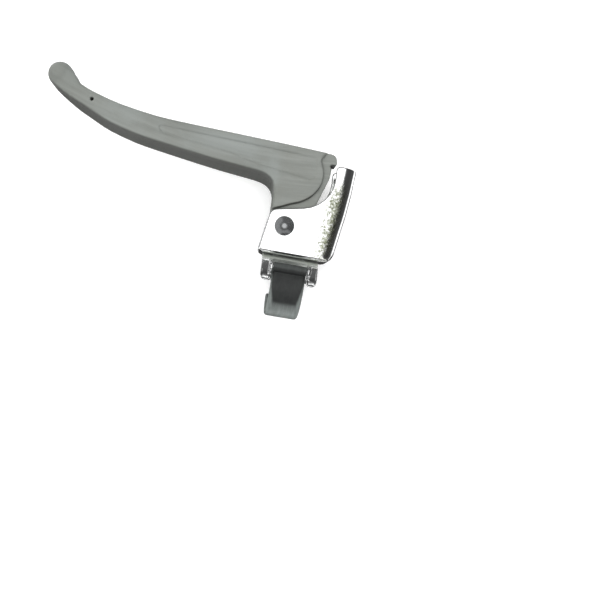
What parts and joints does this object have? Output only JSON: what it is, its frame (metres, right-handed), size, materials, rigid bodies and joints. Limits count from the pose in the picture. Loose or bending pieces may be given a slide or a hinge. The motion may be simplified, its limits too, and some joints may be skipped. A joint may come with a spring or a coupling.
{
  "type": "bicycle brake lever",
  "caption": "Flat-bar bicycle brake lever: plastic-gripped blade with a ball end, turning on a riveted pivot in a pressed steel bracket with a hinged band clamp.",
  "frame": {"origin": "centre of the handlebar bore, halfway along the saddle", "axes": "+X along the handlebar towards its middle, +Y from the handlebar to the bracket and blade, +Z along the pivot rivet towards its domed head"},
  "size_m": [0.1312, 0.0881, 0.0354],
  "materials": {
    "bracket": "bright plated pressing, slightly rippled",
    "saddle": "bright plated pressing",
    "strap": "bright plated band",
    "plated_fastener": "zinc plated",
    "pivot_rivet": "darker polished dome",
    "core": "plain strip steel",
    "grip": "satin grey moulding",
    "nylon": "natural nylon"
  },
  "bodies": {
    "bracket": {"bracket": "bracket", "saddle": "saddle", "base_rivet_outer": "plated_fastener", "base_rivet_inner": "plated_fastener", "pivot_rivet": "pivot_rivet", "rivet_tail_washer": "plated_fastener", "strap_pin": "plated_fastener"},
    "lever": {"grip": "grip", "lever_core": "core", "pivot_bush": "plated_fastener", "pivot_washer_front": "nylon", "pivot_washer_back": "nylon"},
    "strap": {"clamp_strap": "strap"},
    "nut": {"barrel_nut": "plated_fastener"},
    "screw": {"clamp_screw": "plated_fastener", "screw_washer": "plated_fastener"}
  },
  "joints": [
    {"name": "lever_pivot", "type": "hinge", "parent": "bracket", "child": "lever", "pos_m": [-0.0048, 0.024, 0], "axis": [0, 0, 1], "range_deg": [0, 70]},
    {"name": "strap_hinge", "type": "hinge", "parent": "bracket", "child": "strap", "pos_m": [0, 0.0066, 0.0123], "axis": [-1, 0, 0], "range_deg": [0, 60]},
    {"name": "nut_turn", "type": "hinge", "parent": "bracket", "child": "nut", "pos_m": [0, 0.0049, -0.016], "axis": [-1, 0, 0], "range_deg": [0, 60]},
    {"name": "screw_turn", "type": "hinge", "parent": "strap", "child": "screw", "pos_m": [0, -0.005, -0.016], "axis": [0, 1, 0], "continuous": true}
  ],
  "couplings": [
    {"joint": "nut_turn", "follows": "strap_hinge", "ratio": 1}
  ]
}
